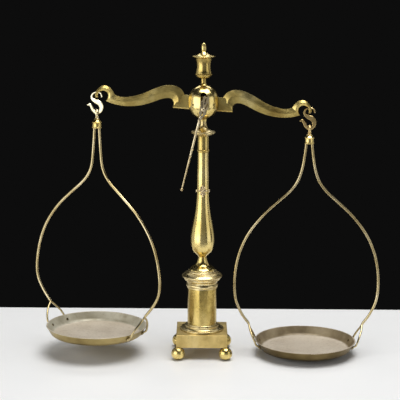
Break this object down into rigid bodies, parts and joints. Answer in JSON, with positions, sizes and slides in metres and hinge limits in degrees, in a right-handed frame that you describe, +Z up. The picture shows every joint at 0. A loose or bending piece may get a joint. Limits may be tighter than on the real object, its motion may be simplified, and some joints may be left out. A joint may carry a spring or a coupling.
{
  "type": "balance scale",
  "caption": "Column balance scale with a tilting curled beam in a pierced globe, and two round pans hung on bent bows from S-hooks.",
  "frame": {"origin": "on the floor, under the centre of the column, between the four feet", "axes": "+X to the right along the beam, +Y to the back, +Z up"},
  "size_m": [0.5609, 0.1632, 0.5043],
  "materials": {
    "stand_brass": "polished, aged",
    "beam_brass": "aged, bevelled",
    "pale_brass": "rubbed bright",
    "rod_brass": "dull drawn rod",
    "pan_brass": "worn, scratched",
    "pointer_brass": "worn, pale",
    "steel": "ground"
  },
  "bodies": {
    "stand": {"foot_front_left": "stand_brass", "foot_front_right": "stand_brass", "foot_back_left": "stand_brass", "foot_back_right": "stand_brass", "plinth": "stand_brass", "base_moulding": "stand_brass", "drum": "stand_brass", "cornice": "stand_brass", "baluster": "stand_brass", "upper_sleeve": "stand_brass", "capital": "stand_brass", "globe_lower": "stand_brass", "globe_upper": "stand_brass", "bearing_front": "steel", "bearing_rear": "steel", "bearing_screw_front_left": "stand_brass", "bearing_screw_front_right": "stand_brass", "bearing_screw_rear_left": "stand_brass", "bearing_screw_rear_right": "stand_brass", "finial_urn": "stand_brass", "finial_lid": "stand_brass", "finial_knob": "stand_brass", "index_ornament": "stand_brass", "index_stud_left": "stand_brass", "index_stud_right": "stand_brass"},
    "beam": {"beam": "beam_brass", "knife_edge": "steel", "pointer_head": "pointer_brass", "pointer_needle": "pointer_brass", "pointer_stud": "pointer_brass", "pointer_rivet": "pointer_brass"},
    "left_hook": {"left_hook": "pale_brass"},
    "left_eye": {"left_eye": "pale_brass"},
    "left_hanger": {"left_ferrule": "stand_brass", "left_bow_left_rod": "rod_brass", "left_bow_right_rod": "rod_brass", "left_pan": "pan_brass", "left_rivet_left_front": "rod_brass", "left_rivet_left_back": "rod_brass", "left_rivet_right_front": "rod_brass", "left_rivet_right_back": "rod_brass"},
    "right_hook": {"right_hook": "pale_brass"},
    "right_eye": {"right_eye": "pale_brass"},
    "right_hanger": {"right_ferrule": "stand_brass", "right_bow_left_rod": "rod_brass", "right_bow_right_rod": "rod_brass", "right_pan": "pan_brass", "right_rivet_left_front": "rod_brass", "right_rivet_left_back": "rod_brass", "right_rivet_right_front": "rod_brass", "right_rivet_right_back": "rod_brass"}
  },
  "joints": [
    {"name": "beam_tilt", "type": "hinge", "parent": "stand", "child": "beam", "pos_m": [0, 0, 0.4115], "axis": [0, 1, 0], "range_deg": [-9.7, 1.9]},
    {"name": "left_hook_level", "type": "hinge", "parent": "beam", "child": "left_hook", "pos_m": [-0.16801, 0, 0.42596], "axis": [0, 1, 0], "range_deg": [-1.9, 9.7]},
    {"name": "left_eye_swing", "type": "hinge", "parent": "left_hook", "child": "left_eye", "pos_m": [-0.16828, 0, 0.39406], "axis": [1, 0, -0.0087], "range_deg": [-12, 12]},
    {"name": "left_pan_turn", "type": "hinge", "parent": "left_eye", "child": "left_hanger", "pos_m": [-0.16838, 0, 0.38336], "axis": [0.0087, 0, 1], "continuous": true},
    {"name": "right_hook_level", "type": "hinge", "parent": "beam", "child": "right_hook", "pos_m": [0.16841, 0, 0.40303], "axis": [0, 1, 0], "range_deg": [-1.9, 9.7]},
    {"name": "right_eye_swing", "type": "hinge", "parent": "right_hook", "child": "right_eye", "pos_m": [0.16841, 0, 0.37113], "axis": [1, 0, 0], "range_deg": [-12, 12]},
    {"name": "right_pan_turn", "type": "hinge", "parent": "right_eye", "child": "right_hanger", "pos_m": [0.16841, 0, 0.36043], "axis": [0, 0, 1], "continuous": true}
  ],
  "couplings": [
    {"joint": "left_hook_level", "follows": "beam_tilt", "ratio": -1},
    {"joint": "right_hook_level", "follows": "beam_tilt", "ratio": -1}
  ]
}
